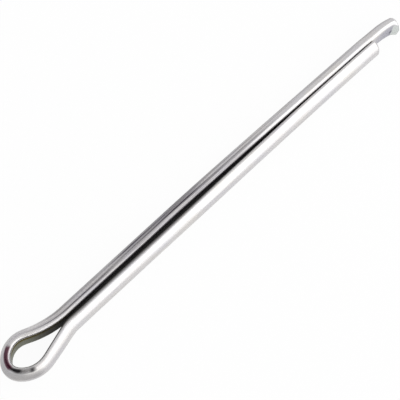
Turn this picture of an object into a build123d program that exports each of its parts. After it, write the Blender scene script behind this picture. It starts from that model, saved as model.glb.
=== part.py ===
from build123d import *
from math import atan2, cos, degrees, radians, sin, sqrt
import os

# Split cotter pin, folded from one length of half-round steel wire.
# The pin lies on its side: the shank axis is X, the eye lies in the XY plane, and Z is up.
# The origin is on the shank axis at the neck, where the nominal length starts.
# The long prong is on the +Y side and the short prong on the -Y side.

# Wire: a little less than half of a round bar, with its flat on the inside of the fold
wire_radius = 2.3
flat_setback = 0.12
flat_corner = 0.3

# Shank: two straight prongs, flat to flat, that draw together towards the tips
shank_length = 80.0
neck_gap = 0.44
tip_gap = 0.04

# Eye: teardrop loop, measured on the flat of the wire
eye_inside_width = 4.7
flank_angle = 18.6
neck_radius = 12.5
shoulder_radius = 4.0
shoulder_turn = 47.0

# Long prong: runs past the short one and hooks over towards it
prong_overrun = 3.4
hook_radius = 5.5
hook_angle = 33.0
hook_end = 0.95

# Tips: a slanted shear cut on the hook, a square cut on the short prong, and softened rims
shear_lean = 30.0
shear_tilt = 14.0
shear_setback = 0.75
tip_round = 0.3

# Half the width of the wire's flat, the lean of each prong, and the shape of the eye
flat_half_width = sqrt(wire_radius**2 - flat_setback**2)
prong_lean = degrees(atan2((neck_gap - tip_gap) / 2, shank_length))
eye_half_width = eye_inside_width / 2
neck_rise = neck_radius * (cos(radians(prong_lean)) - cos(radians(flank_angle)))
shoulder_rise = shoulder_radius * (1 - cos(radians(flank_angle)))
flank_length = (eye_half_width - shoulder_rise - neck_rise - neck_gap / 2) / sin(radians(flank_angle))
crown_height = eye_half_width - shoulder_radius * (1 - cos(radians(shoulder_turn)))
crown_radius = crown_height / cos(radians(shoulder_turn))
crown_turn = 2 * (90 - shoulder_turn)


def wire_section(point, heading):
    """The wire's half-round section at a point of the fold line, its round back on the outside."""
    outward = Vector(0, 0, 1).cross(heading)
    with BuildSketch(Plane(origin=point, x_dir=outward, z_dir=heading)) as section:
        with BuildLine():
            Line((0, flat_half_width), (0, -flat_half_width))
            ThreePointArc((0, -flat_half_width), (wire_radius - flat_setback, 0), (0, flat_half_width))
        make_face()
        fillet(section.vertices(), flat_corner)
    return section.sketch


# Fold line: the middle of the wire's flat, from the short tip round the eye to the hooked tip
with BuildLine() as short_prong:
    Line((shank_length, -tip_gap / 2), (0, -neck_gap / 2))

with BuildLine() as eye:
    neck = JernArc(short_prong.line @ 1, short_prong.line % 1, neck_radius, flank_angle - prong_lean)
    flank = PolarLine(neck @ 1, flank_length, direction=neck % 1)
    shoulder = JernArc(flank @ 1, flank % 1, shoulder_radius, -flank_angle - shoulder_turn)
    crown = JernArc(shoulder @ 1, shoulder % 1, crown_radius, -crown_turn)
    far_shoulder = JernArc(crown @ 1, crown % 1, shoulder_radius, -shoulder_turn - flank_angle)
    far_flank = PolarLine(far_shoulder @ 1, flank_length, direction=far_shoulder % 1)
    JernArc(far_flank @ 1, far_flank % 1, neck_radius, flank_angle - prong_lean)

with BuildLine() as long_prong:
    PolarLine(eye.line @ 1, shank_length + prong_overrun, direction=eye.line % 1)

with BuildLine() as hook:
    bend = JernArc(long_prong.line @ 1, long_prong.line % 1, hook_radius, -hook_angle)
    PolarLine(bend @ 1, hook_end, direction=bend % 1)

# The wire follows the fold line, one run at a time
with BuildPart() as cotter_pin:
    for run in (short_prong.line, eye.line, long_prong.line, hook.line):
        sweep(sections=wire_section(run @ 0, run % 0), path=run)

    # The hook's tip is sheared: the cut leans back from the hook's end and faces a little upwards
    cut_heading = Vector(1, 0, 0).rotate(Axis.Y, -shear_tilt).rotate(Axis.Z, -shear_lean)
    cut_point = hook.line @ 1 - (hook.line % 1) * shear_setback
    split(bisect_by=Plane(origin=cut_point, z_dir=cut_heading), keep=Keep.BOTTOM)

    # The short prong is cut square, with its round rim softened and a sharp edge along the flat
    tip_zone = (shank_length - tip_round / 2, shank_length + tip_round / 2)
    short_rim = edges().filter_by_position(Axis.X, *tip_zone).filter_by(GeomType.LINE, reverse=True)
    fillet(short_rim, tip_round)

cotter_pin.part.label = "cotter_pin"
os.makedirs("parts", exist_ok=True)
export_step(cotter_pin.part, "parts/cotter_pin.step")
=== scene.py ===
from math import atan2, cos, pi, radians, sin, sqrt

import bmesh
import bpy
import numpy as np
from mathutils import Matrix, Vector


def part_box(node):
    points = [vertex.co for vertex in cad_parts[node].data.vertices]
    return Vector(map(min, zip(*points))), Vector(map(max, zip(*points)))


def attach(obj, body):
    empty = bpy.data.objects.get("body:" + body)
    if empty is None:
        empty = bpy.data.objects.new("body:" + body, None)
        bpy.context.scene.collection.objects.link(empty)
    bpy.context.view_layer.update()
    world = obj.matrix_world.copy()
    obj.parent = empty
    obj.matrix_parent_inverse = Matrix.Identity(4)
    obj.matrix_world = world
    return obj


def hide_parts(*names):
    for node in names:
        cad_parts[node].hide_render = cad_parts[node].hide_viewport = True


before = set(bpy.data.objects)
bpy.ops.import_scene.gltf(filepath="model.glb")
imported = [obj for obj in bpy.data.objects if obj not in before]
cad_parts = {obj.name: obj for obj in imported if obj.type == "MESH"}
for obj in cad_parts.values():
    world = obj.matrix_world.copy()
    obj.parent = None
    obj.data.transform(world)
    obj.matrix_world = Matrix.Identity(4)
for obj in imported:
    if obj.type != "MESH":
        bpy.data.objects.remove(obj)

# Split cotter pin of zinc-plated half-round wire, lying on its side on a pale floor.
# The shank axis is X, the eye lies in the XY plane and Z is up. Lengths are millimetres until a mesh is made.
# Along the pin, a ramp is (start, length), a window is (start, end, softness) and a rise is (amount, start, length).
MM = 0.001

# Wire section: half a round bar, with a broad rounded edge over its flat and a narrow one under it
WIRE_RADIUS = 2.3
UPPER_CORNER = 0.65
LOWER_CORNER = 0.3
HALF_HEIGHT = 2.25
FLAT_STEPS, CORNER_STEPS, BACK_STEPS = 15, 9, 40

# The upper edge is narrower on the far part of the short prong
SHORT_PRONG_CORNER = 0.5
CORNER_CHANGE_RAMP = (45, 15)

# Prongs: the gap between them at equal steps from the neck to the short tip, their slight bow and leaning ends
SHORT_TIP = 80.05
PRONG_GAPS = (0.42, 0.46, 0.5, 0.32, 0.115, 0.03)
PRONG_BOW = 0.24
END_LEAN = 0.13
END_LEAN_RAMP = (77.5, 5)
PRONG_STEP = 0.3

# Eye: a teardrop that is a little fuller on the short prong's side
LOWER_NECK_RADIUS, LOWER_FLANK_ANGLE = 8.1, 16.1
LOWER_SHOULDER_RADIUS, LOWER_SHOULDER_TURN = 4.16, 55.5
CROWN_RADIUS = 1.04
UPPER_SHOULDER_RADIUS, UPPER_SHOULDER_TURN = 3.2, 67.8
UPPER_NECK_RADIUS, UPPER_FLANK_ANGLE = 17.6, 24.4
EYE_STEP = 0.1
EYE_SMOOTHING = 0.45
SMOOTHING_REACH = 4

# The wire thins where it is bent round the sides of the eye
THINNING = 0.146
THIN_CENTRE = -10.7
THIN_SPREAD = 5.05

# Hook on the long prong. Its finer steps begin HOOK_LEAD before the short tip
HOOK_LEAD = 1.5
HOOK_START = 81.3
HOOK_ANGLE = 21.0
HOOK_END = 86.83
HOOK_POWER = 1.6
TIP_STEP = 0.06

# Its sheared tip: how far each height of the section is moved on
SHEAR_LENGTH = 2.5
SHEAR_HEIGHTS = (-2.25, -0.7, 2.25)
SHEAR_REACH = (0.12, 0.5, -0.54)

# The lip turned in at the tip, on the points of the section that are less than LIP_EDGE out from the flat
LIP_LENGTH = 0.75
LIP_DEPTH = 0.42
LIP_POWER = 1.3
LIP_EDGE = 0.02

# Rims of the two tips: the rounding of the wire's back, and its share along the flat
LONG_ROUND, LONG_FLAT_SHARE = 1.0, 0.2
SHORT_ROUND, SHORT_FLAT_SHARE = 0.5, 0.9
ROUND_STEPS = 7
FACE_RINGS = (0.86, 0.68, 0.48, 0.28, 0.12)
FACE_ROUGHNESS = 0.03
FACE_GRAIN = 3
FACE_LATTICE = (16, 16)
FACE_OFFSET = 40

# Small unevenness of the drawn and bent wire: depth, lattice, and the size of a cell along and around the wire
SEED = 7
WAVES = (0.012, (64, 8), (7.0, 3.5))
DRAW_LINES = (0.0035, (32, 96), (22.0, 0.14))
FORMING_MARKS = (0.012, (512, 16), (0.42, 1.6))
UNEVEN_SHARE = 0.5

# The forming marks lie round two places: strength, middle and spread along the pin
MARKS_AT_NECK = (1.0, -1.5, 3.2)
MARKS_AT_SIDE = (0.5, -8.5, 2.2)

# Painted colours, in the order in which they are laid over each other: painted shade inside the eye, olive, for its
# dark reflection; a lavender tone on the hook, whose lip is light and whose crease has painted shade; painted dark
# and violet reflection on the crown; painted shade between the prongs, nearly black, and brown at the neck
ZONE_COLOURS = {
    "eye_flat_shade": (0.17, 0.175, 0.115, 1),
    # Painted shade, deeper towards the upper edge of the flat inside the eye
    "eye_edge_shade_and_sheen": (0.075, 0.05, 0.0, 1),
    "tip_flat": (0.44, 0.435, 0.49, 1),
    "lip_facet": (0.68, 0.71, 0.69, 1),
    "crease_shade": (0.08, 0.08, 0.12, 1),
    "crown_dark_reflection": (0.035, 0.033, 0.036, 1),
    "crown_violet_reflection": (0.09, 0.012, 0.036, 1),
    "painted_gap_shade": (0.011, 0.009, 0.0075, 1),
    "neck_shade": (0.045, 0.035, 0.014, 1),
}

# Painted shade on the long prong's outer side goes over all of them, and the painted sheen tints what the flat's
# upper edge mirrors inside the eye
OUTER_SHADE_COLOUR = (0.045, 0.035, 0.055, 1)
EDGE_SHEEN = (0.5, 0.42, 0.12, 1)

# Where the painted shade and tones on the flat lie. Its points are less than FLAT_EDGE out
FLAT_EDGE = 0.01
EYE_FLAT_RAMP = (0, 4)
EYE_EDGE_RAMP = (0.2, 1.6)
TIP_FLAT_RAMP = (78.4, 0.4)
TIP_TONE_BASE, TIP_TONE_RISE = 0.2, (0.8, 79.0, 5.5)
LIP_FACET_RAMP = (85.62, 0.12)
# Painted shade in the crease at the hook's lip, and part of it along the long tip's rim
CREASE_CENTRE, CREASE_SPREAD = (85.4, -0.6), (0.3, 0.6)
RIM_SHADE = 0.6
NECK_SHADE_RAMP = (-4, 8)

# Painted shade on the long prong's outer side, away from the key light: a window of lean across the wire, and the
# rises of its strength along it.
# Lean is 0 degrees straight up and 90 degrees straight out over the wire's back.
OUTER_SHADE_BANDS = (
    ((38, 100, 10), ((0.46, -6, 5), (0.24, 9, 8), (-0.24, 29, 8), (-0.12, 38, 10))),
    ((27, 40, 7), ((0.5, 9, 8), (-0.5, 29, 8))),
    ((20, 27, 4), ((0.66, 4, 10), (-0.66, 46, 10))),
    ((17, 23, 4), ((0.6, -10.5, 9), (-0.6, 7.5, 9))),
    ((0, 20, 6), ((0.44, -7, 14), (-0.44, 43, 14))),
)

# Painted dark reflection round the crown, where the metal mirrors dark surroundings: strength, a window of lean, and
# a window of the turn in degrees about the eye's middle
EYE_MIDDLE = -9
CROWN_END = -3
CROWN_DARK_REFLECTION = (
    (0.55, (17, 36, 10), (-66, -52, 14)),
    (0.52, (12, 37, 9), (-62, -12, 20)),
    (0.85, (13, 30, 9), (-24, 8, 18)),
    (0.34, (38, 80, 16), (-80, 30, 30)),
    (0.16, (30, 95, 20), (30, 125, 20)),
)
CROWN_VIOLET_REFLECTION = ((0.92, (12, 37, 9), (-2, 56, 11)),)

# Painted shade between the prongs, where their flats face each other in a deep narrow gap: the rises of its strength
# along each prong, and how far it reaches over their edges, as a base value and its rises
SHORT_GAP_STRENGTH = ((0.6, -12, 2), (0.4, -5, 8), (-1.0, 78.3, 0.3))
LONG_GAP_STRENGTH = ((1.0, -9, 8), (-1.0, 78.3, 0.3))
SHORT_GAP_REACH = 0.2, ((0.34, -5, 8), (0.03, 9, 10), (-0.49, 10, 50), (-0.03, 29, 10))
LONG_GAP_REACH = 0.05, ((0.06, -5, 8), (-0.06, 44, 20))
GAP_FADE_START = 0.02

# The wire's map is in centimetres
MAP_UNIT = 10

# Noise in the plate: cells per centimetre along and around the wire, detail and roughness. The grain's are per metre
STREAKS = ((0.6, 34.0), 5.0, 0.6)
FINE_LINES = ((3.0, 120.0), 3.0, 0.5)
CLOUDS = ((1.6, 5.0), 4.0, 0.55)
GRAIN_SCALE, GRAIN_DETAIL, GRAIN_ROUGHNESS = 9000.0, 2.0, 0.5

# What the noise does: tones are (position, colour) pairs, and a change of range is (from, to)
STREAK_TONES = ((0.3, (0.61, 0.59, 0.605, 1)), (0.7, (0.76, 0.76, 0.755, 1)))
CLOUD_TINTS = ((0.32, (0.965, 0.965, 0.99, 1)), (0.68, (1.0, 0.985, 0.95, 1)))
# How the streaks vary the painted shade on the long prong's outer side
OUTER_SHADE_IN_STREAKS = ((0.35, 0.65), (1.5, 0.5))
ROUGHNESS_IN_CLOUDS = ((0.3, 0.7), (0.3, 0.4))

# How much the painted shade between the prongs mirrors
GAP_SHADE_SHEEN = 0.01

# Relief of the plate: strength and depth in metres
STREAK_RELIEF = (0.25, 0.00006)
FINE_RELIEF = (0.2, 0.00002)
GRAIN_RELIEF = (0.15, 0.00002)

# Camera
CAMERA_TARGET = (32.142, -0.168, 0.0)
CAMERA_DISTANCE = 200.0
CAMERA_TILT = 13.55
CAMERA_SWING = -18.81
CAMERA_ROLL = 42.15
CAMERA_NUDGE = (-0.122, 0.125)
LENS, SENSOR = 98.80, 36.0
CLIP_START, CLIP_END = 0.001, 20.0

# Floor and surroundings
WHITE = (1, 1, 1, 1)
FLOOR_SIZE = 6000.0
FLOOR_COLOUR = (0.93, 0.93, 0.93, 1)
FLOOR_WHITENESS = 0.95
FLOOR_WHITENESS_IN_METAL = 0.45
MATT_ROUGHNESS = 0.9
WORLD_LEVEL = 0.83

# Lamps: place, aim, width, height and the radiance that a mirror shows
LAMPS = {
    "key_softbox": ((100, -700, 420), (30, 0, 0), 1400, 1000, 0.92),
    "top_softbox": ((560, -140, 760), (560, -140, 0), 700, 560, 0.98),
}

# Cards that the metal mirrors. Upright ones: colour, extent along X and in height
UPRIGHT_CARD_Y = 400
UPRIGHT_CARDS = {
    "far_strip": ((0.28, 0.26, 0.30, 1), (60, 210), (195, 315)),
    "far_low": ((0.42, 0.40, 0.44, 1), (-150, 210), (0, 60)),
}
# Level ones over the eye's side: colour, height and outline
LEVEL_CARDS = {
    "side_band": (
        (0.06, 0.035, 0.05, 1),
        420,
        (
            (-170, -110), (-330, -180), (-560, 60), (-900, 800), (-1300, 2300),
            (-700, 2300), (-480, 900), (-300, 330), (-190, 120),
        ),
    ),
    "side_shade": (
        (0.30, 0.29, 0.29, 1),
        424,
        ((-130, -650), (-330, -650), (-700, -150), (-700, 200), (-130, 200)),
    ),
}


def smooth_step(x):
    """A smooth ramp from 0 to 1 as x goes from 0 to 1."""
    x = np.clip(x, 0, 1)
    return x * x * (3 - 2 * x)


def ramp(x, start, length):
    """A smooth ramp from 0 at start to 1 a length further on."""
    return smooth_step((x - start) / length)


def window(x, start, end, soft):
    """1 between start and end, with soft edges."""
    return smooth_step((x - start) / soft + 0.5) * smooth_step((end - x) / soft + 0.5)


def risen(x, rises, base=0.0):
    """A base value and what each (amount, start, length) rise adds to it by x."""
    return base + sum(amount * ramp(x, start, length) for amount, start, length in rises)


def through(x, values, end):
    """A smooth curve through values at equal steps from 0 to end."""
    values = np.asarray(values, float)
    slopes = np.gradient(values)
    cell = np.clip(x / end * (len(values) - 1), 0, len(values) - 1)
    i = np.minimum(cell.astype(int), len(values) - 2)
    t = cell - i
    rise = (3 - 2 * t) * t * t
    start_slope, end_slope = (1 - t) ** 2 * t, (t - 1) * t * t
    return values[i] * (1 - rise) + values[i + 1] * rise + slopes[i] * start_slope + slopes[i + 1] * end_slope


def value_noise(shape, seed):
    """A smooth periodic lattice of random values, to be read by read_noise."""
    return np.random.default_rng(seed).uniform(-1, 1, shape)


def read_noise(lattice, x, y):
    """Smoothly interpolated noise at x and y, in cells of the lattice."""
    rows, columns = lattice.shape
    i, j = np.floor(x).astype(int), np.floor(y).astype(int)
    fx, fy = smooth_step(x - i), smooth_step(y - j)

    def corner(right, up):
        return lattice[(i + right) % rows, (j + up) % columns]

    low = corner(0, 0) * (1 - fx) + corner(1, 0) * fx
    high = corner(0, 1) * (1 - fx) + corner(1, 1) * fx
    return low * (1 - fy) + high * fy


def prong_middle(x):
    """Sideways offset of the line midway between the prongs."""
    bow = PRONG_BOW * np.sin(pi * np.clip(x, 0, SHORT_TIP) / SHORT_TIP)
    return bow - END_LEAN * ramp(x, *END_LEAN_RAMP)


def prong_gap(x):
    """Gap between the two flats."""
    return through(np.clip(x, 0, SHORT_TIP), PRONG_GAPS, SHORT_TIP)


def arc_travel(arcs, heading):
    """Travel of a chain of (radius, turn) arcs, and the heading at its end."""
    travel = np.zeros(2)
    for radius, turn in arcs:
        end = heading + radians(turn)
        side = 1 if turn > 0 else -1
        travel += side * radius * np.array([sin(end) - sin(heading), cos(heading) - cos(end)])
        heading = end
    return travel, heading


def arc_run(radius, turn):
    """An arc as (length, turn)."""
    return radius * radians(abs(turn)), turn


def eye_runs(half_gap):
    """The teardrop as (length, turn) runs, from the lower side of the neck to the upper side."""
    crown_turn = 180 - LOWER_SHOULDER_TURN - UPPER_SHOULDER_TURN
    lower = (LOWER_NECK_RADIUS, LOWER_FLANK_ANGLE)
    upper = (UPPER_NECK_RADIUS, UPPER_FLANK_ANGLE)
    middle = [
        (LOWER_SHOULDER_RADIUS, -LOWER_FLANK_ANGLE - LOWER_SHOULDER_TURN),
        (CROWN_RADIUS, -crown_turn),
        (UPPER_SHOULDER_RADIUS, -UPPER_SHOULDER_TURN - UPPER_FLANK_ANGLE),
    ]
    # The two straight flanks take up whatever the arcs leave between the two sides of the neck
    first, flank_heading = arc_travel([lower], pi)
    second, far_heading = arc_travel(middle, flank_heading)
    third, _ = arc_travel([upper], far_heading)
    left = np.array([0, 2 * half_gap]) - first - second - third
    flanks = np.array([[cos(flank_heading), cos(far_heading)], [sin(flank_heading), sin(far_heading)]])
    near_flank, far_flank = np.linalg.solve(flanks, left)
    middle_runs = [arc_run(*arc) for arc in middle]
    return [arc_run(*lower), (near_flank, 0), *middle_runs, (far_flank, 0), arc_run(*upper)]


def smoothed(values):
    """Values at every EYE_STEP along the wire, smoothed over EYE_SMOOTHING."""
    pad = int(SMOOTHING_REACH * EYE_SMOOTHING / EYE_STEP)
    padded = np.concatenate([np.full(pad, values[0]), values, np.full(pad, values[-1])])
    kernel = np.exp(-0.5 * (np.arange(-pad, pad + 1) * EYE_STEP / EYE_SMOOTHING) ** 2)
    return np.convolve(padded, kernel / kernel.sum(), mode="valid")


def eye_line():
    """Points on the wire's flat round the eye, from the lower side of the neck to the upper side."""
    half_gap = prong_gap(np.zeros(1))[0] / 2
    runs = eye_runs(half_gap)
    lengths = np.cumsum([0] + [length for length, _ in runs])
    headings = np.cumsum([180] + [turn for _, turn in runs])
    count = int(lengths[-1] / EYE_STEP)
    along = np.linspace(0, lengths[-1], count + 1)
    bend = smoothed(np.radians(np.interp(along, lengths, headings)))
    step = lengths[-1] / count
    middle_bend = (bend[1:] + bend[:-1]) / 2
    x = np.concatenate([[0], np.cumsum(np.cos(middle_bend) * step)])
    y = np.concatenate([[0], np.cumsum(np.sin(middle_bend) * step)]) - half_gap
    # Smoothing moves the far end a little, which is spread along the whole line
    share = along / along[-1]
    return np.stack([x - x[-1] * share, y - (y[-1] - half_gap) * share], 1)


def hook_line():
    """Points on the wire's flat from just before the short tip to the long tip."""
    x = np.arange(SHORT_TIP - HOOK_LEAD, HOOK_END + TIP_STEP, TIP_STEP)
    progress = np.clip((x - HOOK_START) / (HOOK_END - HOOK_START), 0, None)
    drop = np.cumsum(np.tan(np.radians(HOOK_ANGLE) * progress**HOOK_POWER)) * TIP_STEP
    y = prong_middle(x) + prong_gap(x) / 2 - drop
    return np.stack([x, y], 1)


def fold_line():
    """The middle of the wire's flat, from the short tip round the eye to the long tip."""
    short_x = np.arange(SHORT_TIP, PRONG_STEP / 2, -PRONG_STEP)
    short = np.stack([short_x, prong_middle(short_x) - prong_gap(short_x) / 2], 1)
    hook = hook_line()
    long_x = np.arange(PRONG_STEP, hook[0, 0] - PRONG_STEP / 2, PRONG_STEP)
    long = np.stack([long_x, prong_middle(long_x) + prong_gap(long_x) / 2], 1)
    return np.concatenate([short, eye_line(), long, hook])


def section_arc(radius, centre, start, end, steps):
    """Points of an arc of the section, without the last one. centre is (outward, up)."""
    angles = np.linspace(start, end, steps + 1)[:-1]
    return [(centre[0] + radius * cos(a), centre[1] + radius * sin(a)) for a in angles]


def wire_profile(corner):
    """The section as (outward, up, arc length) rows: flat, upper edge, round back, lower edge. Also its girth."""
    upper_height = sqrt((WIRE_RADIUS - corner) ** 2 - corner**2)
    lower_height = sqrt((WIRE_RADIUS - LOWER_CORNER) ** 2 - LOWER_CORNER**2)
    upper_meet = atan2(upper_height, corner)
    lower_meet = atan2(lower_height, LOWER_CORNER)
    flat = [(0.0, z) for z in np.linspace(-lower_height, upper_height, FLAT_STEPS + 1)[:-1]]
    upper = section_arc(corner, (corner, upper_height), pi, upper_meet, CORNER_STEPS)
    back = section_arc(WIRE_RADIUS, (0, 0), upper_meet, -lower_meet, BACK_STEPS)
    lower = section_arc(LOWER_CORNER, (LOWER_CORNER, -lower_height), -lower_meet, -pi, CORNER_STEPS)
    points = np.array(flat + upper + back + lower)
    top, bottom = upper_height + corner, lower_height + LOWER_CORNER
    points[:, 1] *= np.where(points[:, 1] > 0, HALF_HEIGHT / top, HALF_HEIGHT / bottom)
    steps = np.linalg.norm(np.roll(points, -1, 0) - points, axis=1)
    arc_lengths = np.concatenate([[0], np.cumsum(steps)[:-1]])
    return np.column_stack([points, arc_lengths]), steps.sum()


def wire_thickness(x):
    """The share of its full thickness that the wire keeps at x."""
    return 1 - THINNING * np.exp(-(((x - THIN_CENTRE) / THIN_SPREAD) ** 2)) * (x < 0)


def unevenness(along, around, x):
    """Height of the small waves, draw lines and forming marks over the wire's surface."""
    waves, draws, marks = [
        depth * read_noise(value_noise(cells, SEED + k), along / size[0], around / size[1])
        for k, (depth, cells, size) in enumerate((WAVES, DRAW_LINES, FORMING_MARKS))
    ]
    marked = sum(
        strength * np.exp(-(((x - middle) / spread) ** 2))
        for strength, middle, spread in (MARKS_AT_NECK, MARKS_AT_SIDE)
    )
    return waves + draws + marks * np.clip(marked, 0, 1)[:, None]


def wire_rings(line, along, outward, profile):
    """A ring of points round the wire at each point of the fold line."""
    sharper, _ = wire_profile(SHORT_PRONG_CORNER)
    on_short = (np.arange(len(line)) < len(line) / 2) * ramp(line[:, 0], *CORNER_CHANGE_RAMP)
    thickness = wire_thickness(line[:, 0])
    deepest = WAVES[0] + DRAW_LINES[0] + FORMING_MARKS[0]
    sinking = UNEVEN_SHARE * (deepest - unevenness(along[:, None], profile[None, :, 2], line[:, 0]))
    spokes = np.column_stack([profile[:, 0] - profile[:, 0].max() / 2, profile[:, 1]])
    spokes /= np.linalg.norm(spokes, axis=1)[:, None]
    near_tip = np.clip((along - along[-1] + LIP_LENGTH) / LIP_LENGTH, 0, None)
    lip = LIP_DEPTH * near_tip[:, None] ** LIP_POWER * (profile[None, :, 0] < LIP_EDGE)

    rings = []
    for k in range(len(line)):
        section = profile[:, :2] * (1 - on_short[k]) + sharper[:, :2] * on_short[k]
        offsets = section * (thickness[k], 1) - spokes * sinking[k][:, None]
        offsets[:, 0] -= lip[k]
        level = line[k] + outward[k] * offsets[:, :1]
        rings.append(np.column_stack([level, offsets[:, 1]]))
    return rings


def shear_tip(rings, along, forward, profile):
    """Slant the long tip: its upper edge is set back, and it runs out to a corner under the middle."""
    lean = np.clip((along - along[-1] + SHEAR_LENGTH) / SHEAR_LENGTH, 0, 1)
    reach = np.interp(profile[:, 1], SHEAR_HEIGHTS, SHEAR_REACH)
    for k in np.nonzero(lean)[0]:
        rings[k] += forward * (reach * lean[k])[:, None]


def end_rings(ring, forward, rounding, seed):
    """Rings that round a tip's rim over and cover its cut face, and the middle of that face."""
    middle = ring.mean(0)
    spokes = ring - middle
    widths = np.linalg.norm(spokes, axis=1)[:, None]
    rings = []
    for angle in np.linspace(0, pi / 2, ROUND_STEPS + 1):
        inset = 1 - rounding[:, None] * (1 - cos(angle)) / widths
        travel = rounding * (sin(angle) - 1)
        rings.append(middle + spokes * inset + forward * travel[:, None])
    rim = rings[-1]
    lattice = value_noise(FACE_LATTICE, seed)
    plane_middle = rim.mean(0)
    for share in FACE_RINGS:
        face = plane_middle + (rim - plane_middle) * share
        cells = face * FACE_GRAIN + FACE_OFFSET
        rough = read_noise(lattice, cells[:, 1], cells[:, 2]) * FACE_ROUGHNESS
        rings.append(face + forward * rough[:, None])
    return rings, plane_middle


def sweep_wire():
    """Rings of the whole pin, the section with its girth, the middles of the cut faces, and the long tip's rows."""
    line = fold_line()
    tangent = np.gradient(line, axis=0)
    tangent /= np.linalg.norm(tangent, axis=1)[:, None]
    outward = np.stack([-tangent[:, 1], tangent[:, 0]], 1)
    along = np.concatenate([[0], np.cumsum(np.linalg.norm(np.diff(line, axis=0), axis=1))])
    profile, girth = wire_profile(UPPER_CORNER)
    rings = wire_rings(line, along, outward, profile)

    short_forward = np.array([-tangent[0, 0], -tangent[0, 1], 0.0])
    long_forward = np.array([tangent[-1, 0], tangent[-1, 1], 0.0])
    shear_tip(rings, along, long_forward, profile)
    back = profile[:, 0] / profile[:, 0].max()
    short_rounding = SHORT_ROUND * (SHORT_FLAT_SHARE + (1 - SHORT_FLAT_SHARE) * back)
    long_rounding = LONG_ROUND * (LONG_FLAT_SHARE + (1 - LONG_FLAT_SHARE) * back)
    long_end, long_middle = end_rings(rings[-1], long_forward, long_rounding, SEED + 3)
    short_end, short_middle = end_rings(rings[0], short_forward, short_rounding, SEED + 4)
    short_cut, long_cut = int(SHORT_ROUND / PRONG_STEP) + 1, int(LONG_ROUND / TIP_STEP) + 1
    all_rings = short_end[::-1] + rings[short_cut:-long_cut] + long_end
    return np.array(all_rings), profile, girth, [short_middle, long_middle], len(long_end)


def pin_faces(rows, columns):
    """Quads between neighbouring rings, and a fan over each cut face."""
    row, column = np.meshgrid(np.arange(rows - 1), np.arange(columns), indexing="ij")
    after = (column + 1) % columns
    here, beyond = row * columns, (row + 1) * columns
    quads = np.stack([here + column, here + after, beyond + after, beyond + column], -1)
    first, last, top = rows * columns, rows * columns + 1, (rows - 1) * columns
    faces = quads.reshape(-1, 4).tolist()
    faces += [[first, (j + 1) % columns, j] for j in range(columns)]
    faces += [[last, top + j, top + (j + 1) % columns] for j in range(columns)]
    return faces


def map_wire(mesh, rings, profile, girth):
    """Map the mesh: u runs along the wire and v around it, in centimetres."""
    rows, columns = rings.shape[:2]
    steps = np.linalg.norm(np.diff(rings.mean(1), axis=0), axis=1)
    run = np.concatenate([[0], np.cumsum(steps)])
    corners = np.zeros(len(mesh.loops), int)
    mesh.loops.foreach_get("vertex_index", corners)
    ring_of, place = np.minimum(corners // columns, rows - 1), corners % columns
    around = profile[place, 2]

    # In a face over the seam, the corners past it take the full girth more
    totals = np.zeros(len(mesh.polygons), int)
    mesh.polygons.foreach_get("loop_total", totals)
    face_of = np.repeat(np.arange(len(totals)), totals)
    widest = np.zeros(len(totals))
    np.maximum.at(widest, face_of, around)
    past_seam = (widest[face_of] > girth * 0.75) & (around < girth * 0.25)
    around = around + girth * past_seam
    uv = np.column_stack([run[ring_of], around]) / MAP_UNIT
    layer = mesh.uv_layers.new(name="wire")
    layer.data.foreach_set("uv", uv.astype(np.float32).ravel())


def painted_outer_shade(x, lean, long_half):
    """How strongly painted shade darkens each ring point, in lengthwise bands on the long prong's outer side."""
    bands = sum(window(lean, *across) * risen(x, rises) for across, rises in OUTER_SHADE_BANDS)
    return long_half * np.clip(bands, 0, 1)


def crown_patches(patches, lean, turn):
    """How strongly painted dark reflection marks each ring point, in patches round the crown."""
    strength = sum(amount * window(lean, *across) * window(turn, *about) for amount, across, about in patches)
    return np.clip(strength, 0, 1)


def painted_gap_shade(x, out, long_side):
    """How strongly painted shade darkens each ring point: full between the prongs, fading over their edges."""
    short_base, short_rises = SHORT_GAP_REACH
    long_base, long_rises = LONG_GAP_REACH
    reach = np.where(long_side, risen(x, long_rises, long_base), risen(x, short_rises, short_base))
    strength = np.where(long_side, risen(x, LONG_GAP_STRENGTH), risen(x, SHORT_GAP_STRENGTH))
    return strength * (1 - ramp(out, GAP_FADE_START, 2 * reach))


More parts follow.
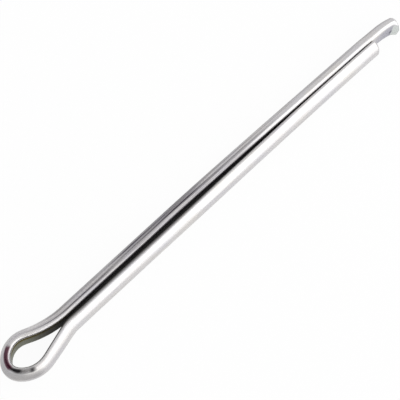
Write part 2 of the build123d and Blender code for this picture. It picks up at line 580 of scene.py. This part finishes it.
def shade_and_tone_zones(rings, profile, tip_rows):
    """The strength of each painted shade, painted reflection and tone at each ring point, by the name of its zone."""
    x, y, z = rings[:, :, 0], rings[:, :, 1], rings[:, :, 2]
    out, up = profile[None, :, 0], profile[None, :, 1]
    row = np.arange(len(rings))[:, None]
    lean = np.degrees(np.arctan2(out, up))
    turn = np.where(x < CROWN_END, np.degrees(np.arctan2(y, EYE_MIDDLE - x)), 180)
    long_side = np.broadcast_to(row > x.mean(1).argmin(), x.shape)
    long_half = (row > len(rings) / 2) & (up > 0)
    long_rim = row > len(rings) - tip_rows
    flat = np.broadcast_to(out < FLAT_EDGE, x.shape)
    long_flat = flat & long_side

    # Painted shade on the flat inside the eye, which stands for the dark reflection there
    eye_flat_shade = flat * ramp(-x, *EYE_FLAT_RAMP)
    crease_shade = [((place - middle) / spread) ** 2 for place, middle, spread in zip((x, z), CREASE_CENTRE, CREASE_SPREAD)]
    # Painted shade between the prongs, where the flats face each other
    painted_shade_and_tone = painted_gap_shade(x, out, long_side)
    return {
        "eye_flat_shade": eye_flat_shade,
        "eye_edge_shade_and_sheen": eye_flat_shade * ramp(z, *EYE_EDGE_RAMP),
        "tip_flat": long_flat * ramp(x, *TIP_FLAT_RAMP) * risen(x, [TIP_TONE_RISE], TIP_TONE_BASE),
        "lip_facet": long_flat * ramp(x, *LIP_FACET_RAMP),
        "crease_shade": long_flat * np.clip(np.exp(-sum(crease_shade)) + RIM_SHADE * long_rim, 0, 1),
        "crown_dark_reflection": crown_patches(CROWN_DARK_REFLECTION, lean, turn),
        "crown_violet_reflection": crown_patches(CROWN_VIOLET_REFLECTION, lean, turn),
        "painted_gap_shade": painted_shade_and_tone,
        # The painted shade between the prongs turns brown at the neck and in the eye
        "neck_shade": painted_shade_and_tone * (1 - ramp(x, *NECK_SHADE_RAMP)),
        "painted_outer_shade": painted_outer_shade(x, lean, long_half),
    }


def turn_faces_out(mesh):
    """Make every face look outward."""
    work = bmesh.new()
    work.from_mesh(mesh)
    bmesh.ops.recalc_face_normals(work, faces=work.faces)
    work.to_mesh(mesh)
    work.free()


def make_pin():
    """The pin as one closed mesh, with its map and its zones of painted shade, painted reflection and tone."""
    rings, profile, girth, face_middles, tip_rows = sweep_wire()
    vertices = np.concatenate([rings.reshape(-1, 3), face_middles]) * MM
    mesh = bpy.data.meshes.new("pin_wire")
    mesh.from_pydata(vertices.tolist(), [], pin_faces(*rings.shape[:2]))
    mesh.validate()
    map_wire(mesh, rings, profile, girth)
    for name, zone in shade_and_tone_zones(rings, profile, tip_rows).items():
        attribute = mesh.attributes.new(name, "FLOAT", "POINT")
        attribute.data.foreach_set("value", np.concatenate([zone.ravel(), [0, 0]]).astype(np.float32))
    mesh.polygons.foreach_set("use_smooth", [True] * len(mesh.polygons))
    turn_faces_out(mesh)
    pin = bpy.data.objects.new("cotter_pin_wire", mesh)
    bpy.context.scene.collection.objects.link(pin)
    return pin


def node(tree, kind, inputs=None, **settings):
    """A shader node with the given settings. Inputs go by name or number, and are values or sockets to link."""
    made = tree.nodes.new(kind)
    for name, value in settings.items():
        setattr(made, name, value)
    for key, value in (inputs or {}).items():
        if isinstance(value, bpy.types.NodeSocket):
            tree.links.new(value, made.inputs[key])
        else:
            made.inputs[key].default_value = value
    return made


def maths(tree, operation, first, second, clamp=False):
    """One sum on two numbers or sockets."""
    return node(tree, "ShaderNodeMath", {0: first, 1: second}, operation=operation, use_clamp=clamp).outputs[0]


def mixed(tree, share, under, over, blend="MIX"):
    """Two colours, blended by share."""
    return node(tree, "ShaderNodeMix", {0: share, 6: under, 7: over}, data_type="RGBA", blend_type=blend).outputs[2]


def zone_strength(tree, name):
    """The strength of a zone of the mesh."""
    return node(tree, "ShaderNodeAttribute", attribute_name=name).outputs["Fac"]


def mapped(tree, value, ranges):
    """A number taken from one range to another."""
    (from_min, from_max), (to_min, to_max) = ranges
    inputs = {"Value": value, "From Min": from_min, "From Max": from_max, "To Min": to_min, "To Max": to_max}
    return node(tree, "ShaderNodeMapRange", inputs).outputs["Result"]


def toned(tree, factor, tones):
    """A colour that runs between two (position, colour) tones."""
    scale = node(tree, "ShaderNodeValToRGB", {"Fac": factor})
    for element, (position, colour) in zip(scale.color_ramp.elements, tones):
        element.position = position
        element.color = colour
    return scale.outputs["Color"]


def wire_noise(tree, uv, kind):
    """Noise drawn out along the wire."""
    (along, around), detail, roughness = kind
    scaled = node(tree, "ShaderNodeVectorMath", {0: uv, 1: (along, around, 1.0)}, operation="MULTIPLY").outputs[0]
    inputs = {"Vector": scaled, "Scale": 1.0, "Detail": detail, "Roughness": roughness}
    return node(tree, "ShaderNodeTexNoise", inputs).outputs["Fac"]


def grain_noise(tree):
    """Fine even grain."""
    place = tree.nodes.new("ShaderNodeTexCoord").outputs["Object"]
    inputs = {"Vector": place, "Scale": GRAIN_SCALE, "Detail": GRAIN_DETAIL, "Roughness": GRAIN_ROUGHNESS}
    return node(tree, "ShaderNodeTexNoise", inputs).outputs["Fac"]


def relief(tree, layers):
    """Bumps laid over each other, each from (height, (strength, depth))."""
    normal = {}
    for height, (strength, depth) in layers:
        bump = node(tree, "ShaderNodeBump", {"Strength": strength, "Distance": depth, "Height": height, **normal})
        normal = {"Normal": bump.outputs["Normal"]}
    return normal["Normal"]


def new_material(name):
    """An empty node material with its Principled shader."""
    material = bpy.data.materials.new(name)
    material.use_nodes = True
    tree = material.node_tree
    return material, tree, tree.nodes["Principled BSDF"]


def plate_colour(tree, streaks, clouds):
    """Bright plate in streaks and soft tints, under its painted shade, painted reflections and tones, and the painted
    shade on the outer side.
    """
    colour = mixed(tree, 1.0, toned(tree, streaks, STREAK_TONES), toned(tree, clouds, CLOUD_TINTS), "MULTIPLY")
    # Painted shade, painted reflections and tones, zone by zone
    for name, painted_shade_and_tone in ZONE_COLOURS.items():
        colour = mixed(tree, zone_strength(tree, name), colour, painted_shade_and_tone)
    # Painted shade on the long prong's outer side, broken up by the streaks
    streaked = mapped(tree, streaks, OUTER_SHADE_IN_STREAKS)
    outer_shade = maths(tree, "MULTIPLY", zone_strength(tree, "painted_outer_shade"), streaked, clamp=True)
    return mixed(tree, outer_shade, colour, OUTER_SHADE_COLOUR)


def plated_steel():
    """Bright zinc plate on drawn wire: fine streaks along the wire, soft tints and small pits."""
    material, tree, shader = new_material("zinc_plated_wire")
    uv = node(tree, "ShaderNodeUVMap", uv_map="wire").outputs["UV"]
    streaks, fine, clouds = [wire_noise(tree, uv, kind) for kind in (STREAKS, FINE_LINES, CLOUDS)]
    layers = ((streaks, STREAK_RELIEF), (fine, FINE_RELIEF), (grain_noise(tree), GRAIN_RELIEF))
    looks = {
        "Base Color": plate_colour(tree, streaks, clouds),
        # Painted sheen: a tint on the reflection from the flat's upper edge inside the eye
        "Specular Tint": mixed(tree, zone_strength(tree, "eye_edge_shade_and_sheen"), WHITE, EDGE_SHEEN),
        # The painted shade between the prongs also takes the metal away there, so the gap stays nearly black
        "Metallic": maths(tree, "SUBTRACT", 1.0, zone_strength(tree, "painted_gap_shade")),
        "Roughness": mapped(tree, clouds, ROUGHNESS_IN_CLOUDS),
        "Normal": relief(tree, layers),
    }
    for name, socket in looks.items():
        tree.links.new(socket, shader.inputs[name])
    # A faint gloss, which shows only where the painted shade between the prongs takes the metal away
    shader.inputs["Specular IOR Level"].default_value = GAP_SHADE_SHEEN
    return material


def matt_material(name, colour):
    """Matt paper or card."""
    material, tree, shader = new_material(name)
    shader.inputs["Base Color"].default_value = colour
    shader.inputs["Roughness"].default_value = MATT_ROUGHNESS
    shader.inputs["Specular IOR Level"].default_value = 0.0
    return material, tree, shader


def pale_floor():
    """Matt pale paper, part lit and part plain white, so that the pin's shadow on it stays light."""
    material, tree, shader = matt_material("pale_paper", FLOOR_COLOUR)
    path = tree.nodes.new("ShaderNodeLightPath")
    seen = maths(tree, "MULTIPLY", path.outputs["Is Camera Ray"], FLOOR_WHITENESS)
    mirrored = maths(tree, "MULTIPLY", path.outputs["Is Glossy Ray"], FLOOR_WHITENESS_IN_METAL)
    seen_through = maths(tree, "MULTIPLY", path.outputs["Is Transmission Ray"], FLOOR_WHITENESS)
    share = maths(tree, "ADD", maths(tree, "ADD", seen, mirrored), seen_through)
    white = node(tree, "ShaderNodeEmission", {"Color": WHITE, "Strength": 1.0})
    surface = node(tree, "ShaderNodeMixShader", {0: share, 1: shader.outputs[0], 2: white.outputs[0]})
    tree.links.new(surface.outputs[0], tree.nodes["Material Output"].inputs["Surface"])
    return material


def plane(name, corners, material):
    """A staged flat card with the given corners."""
    mesh = bpy.data.meshes.new(name)
    mesh.from_pydata([tuple(c * MM for c in corner) for corner in corners], [], [tuple(range(len(corners)))])
    mesh.materials.append(material)
    card = bpy.data.objects.new(name, mesh)
    bpy.context.scene.collection.objects.link(card)


def make_floor():
    """The floor, level with the pin's underside."""
    low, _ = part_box("cotter_pin")
    floor_z, half = low.z / MM, FLOOR_SIZE / 2
    corners = [(x * half, y * half, floor_z) for x, y in ((-1, -1), (1, -1), (1, 1), (-1, 1))]
    plane("floor", corners, pale_floor())


def make_cards():
    """The cards that the metal mirrors."""
    for name, (colour, (left, right), (low, high)) in UPRIGHT_CARDS.items():
        outline = ((left, low), (right, low), (right, high), (left, high))
        plane(name, [(x, UPRIGHT_CARD_Y, z) for x, z in outline], matt_material(name, colour)[0])
    for name, (colour, height, outline) in LEVEL_CARDS.items():
        plane(name, [(x, y, height) for x, y in outline], matt_material(name, colour)[0])


def area_light(name, place, aim, width, height, radiance):
    """A soft lamp that shows the given radiance in a mirror."""
    lamp = bpy.data.lights.new(name, "AREA")
    lamp.shape = "RECTANGLE"
    lamp.size = width * MM
    lamp.size_y = height * MM
    lamp.energy = radiance * pi * width * height * MM**2
    light = bpy.data.objects.new(name, lamp)
    light.location = Vector(place) * MM
    light.rotation_euler = (Vector(aim) - Vector(place)).to_track_quat("-Z", "Y").to_euler()
    bpy.context.scene.collection.objects.link(light)


def make_world():
    """Even pale surroundings."""
    world = bpy.data.worlds.new("surroundings")
    world.use_nodes = True
    background = world.node_tree.nodes["Background"]
    background.inputs["Color"].default_value = WHITE
    background.inputs["Strength"].default_value = WORLD_LEVEL
    bpy.context.scene.world = world


def make_studio():
    """Floor, lamps, cards and surroundings."""
    make_floor()
    for name, lamp in LAMPS.items():
        area_light(name, *lamp)
    make_cards()
    make_world()


def make_camera():
    """The camera, nearly over the pin, with the pin running up and to the right."""
    tilt, swing, roll = radians(CAMERA_TILT), radians(CAMERA_SWING), radians(CAMERA_ROLL)
    back = Vector((sin(swing), -sin(tilt) * cos(swing), cos(tilt) * cos(swing)))
    along = (Vector((1, 0, 0)) - back * back.x).normalized()
    across = back.cross(along)
    right = along * cos(roll) - across * sin(roll)
    up = along * sin(roll) + across * cos(roll)
    camera = bpy.data.cameras.new("camera")
    camera.lens = LENS
    camera.sensor_width = SENSOR
    camera.clip_start = CLIP_START
    camera.clip_end = CLIP_END
    holder = bpy.data.objects.new("camera", camera)
    turn = Matrix((right, up, back)).transposed().to_4x4()
    place = Vector(CAMERA_TARGET) + back * CAMERA_DISTANCE + right * CAMERA_NUDGE[0] + up * CAMERA_NUDGE[1]
    holder.matrix_world = Matrix.Translation(place * MM) @ turn
    bpy.context.scene.collection.objects.link(holder)
    bpy.context.scene.camera = holder


def main():
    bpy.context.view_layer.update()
    pin = make_pin()
    pin.data.materials.append(plated_steel())
    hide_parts("cotter_pin")
    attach(pin, "root")
    make_studio()
    make_camera()
    bpy.context.scene.view_settings.view_transform = "Standard"


main()
